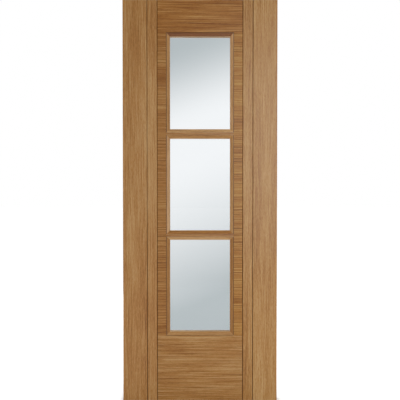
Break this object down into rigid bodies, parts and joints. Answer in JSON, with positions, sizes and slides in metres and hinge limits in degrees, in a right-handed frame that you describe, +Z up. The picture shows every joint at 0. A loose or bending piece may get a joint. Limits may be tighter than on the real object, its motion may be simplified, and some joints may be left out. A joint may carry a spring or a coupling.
{
  "type": "glazed fire door leaf",
  "caption": "Oak-veneered fire door leaf with grooved upright stiles, a cross-grained centre panel and a column of clear glazed lights held by splayed, mitred beads; hung on its hinge edge.",
  "frame": {"origin": "foot of the hinge edge, at mid thickness", "axes": "+X from the hinge edge to the lock edge, +Y from the front face to the back face, +Z up the leaf"},
  "size_m": [0.762, 0.044, 1.981],
  "materials": {
    "stile_veneer": "straight-grained oak veneer, grain upright, satin lacquer",
    "panel_veneer": "figured oak veneer, grain across, satin lacquer",
    "oak_lipping": "solid oak, planed and lacquered",
    "oak_glazing": "solid oak, moulded and lacquered",
    "board_core": "bare particle board, sawn edges",
    "clear_glass": "clear fire-resisting glass, polished",
    "glazing_seal": "tan closed-cell glazing tape"
  },
  "bodies": {
    "root": {"bottom_rail_back_face": "panel_veneer", "bottom_rail_core": "board_core", "bottom_rail_front_face": "panel_veneer", "hinge_edge_lipping": "oak_lipping", "hinge_post_back_face": "panel_veneer", "hinge_post_core": "board_core", "hinge_post_front_face": "panel_veneer", "hinge_stile_back_face": "stile_veneer", "hinge_stile_core": "board_core", "hinge_stile_front_face": "stile_veneer", "lock_edge_lipping": "oak_lipping", "lock_post_back_face": "panel_veneer", "lock_post_core": "board_core", "lock_post_front_face": "panel_veneer", "lock_stile_back_face": "stile_veneer", "lock_stile_core": "board_core", "lock_stile_front_face": "stile_veneer", "lower_back_cross_beads": "oak_glazing", "lower_back_upright_beads": "oak_glazing", "lower_front_cross_beads": "oak_glazing", "lower_front_upright_beads": "oak_glazing", "lower_glass_pane": "clear_glass", "lower_glazing_bar": "oak_glazing", "lower_glazing_seals": "glazing_seal", "middle_back_cross_beads": "oak_glazing", "middle_back_upright_beads": "oak_glazing", "middle_front_cross_beads": "oak_glazing", "middle_front_upright_beads": "oak_glazing", "middle_glass_pane": "clear_glass", "middle_glazing_seals": "glazing_seal", "top_rail_back_face": "panel_veneer", "top_rail_core": "board_core", "top_rail_front_face": "panel_veneer", "upper_back_cross_beads": "oak_glazing", "upper_back_upright_beads": "oak_glazing", "upper_front_cross_beads": "oak_glazing", "upper_front_upright_beads": "oak_glazing", "upper_glass_pane": "clear_glass", "upper_glazing_bar": "oak_glazing", "upper_glazing_seals": "glazing_seal"}
  },
  "joints": []
}
